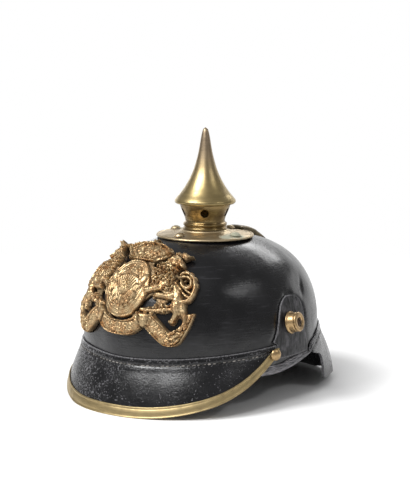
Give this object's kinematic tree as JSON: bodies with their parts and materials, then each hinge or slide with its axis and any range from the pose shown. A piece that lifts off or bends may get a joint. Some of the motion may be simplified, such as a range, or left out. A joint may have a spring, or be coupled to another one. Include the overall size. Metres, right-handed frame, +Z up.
{
  "type": "spiked helmet",
  "caption": "Blocked leather helmet with a front and rear visor, brass edge trim, a vented spike on a studded base, a raised back spine, a pressed front plate and side posts.",
  "frame": {"origin": "middle of the footprint, on the surface that the helmet stands on", "axes": "+Z up along the spike, -Y to the front, +X to the wearer's left"},
  "size_m": [0.2058, 0.2574, 0.224],
  "materials": {
    "shell_leather": "black varnished leather, worn semi-gloss with fine scratches",
    "visor_leather": "black varnished leather, crackled and pitted",
    "tab_leather": "black leather, dull and wrinkled",
    "trim_brass": "pale satin brass, dulled",
    "spike_brass": "olive brass, aged and softly polished",
    "base_brass": "dull brown brass with grey-green corrosion round the studs",
    "plate_brass": "gilt pressed brass, coppery in its hollows",
    "fitting_brass": "golden brass, rubbed bright"
  },
  "bodies": {
    "root": {"leather_shell": "shell_leather", "rim_binding": "visor_leather", "front_visor": "visor_leather", "rear_visor": "visor_leather", "visor_trim": "trim_brass", "spike_base": "base_brass", "spike_neck": "spike_brass", "spike": "spike_brass", "rear_spine": "spike_brass", "helmet_plate": "plate_brass", "side_tab_left": "tab_leather", "side_post_left": "fitting_brass", "trim_stud_left": "fitting_brass", "side_tab_right": "tab_leather", "side_post_right": "fitting_brass", "trim_stud_right": "fitting_brass", "base_stud_front": "base_brass", "base_stud_left": "base_brass", "base_stud_rear": "base_brass", "base_stud_right": "base_brass"}
  },
  "joints": []
}
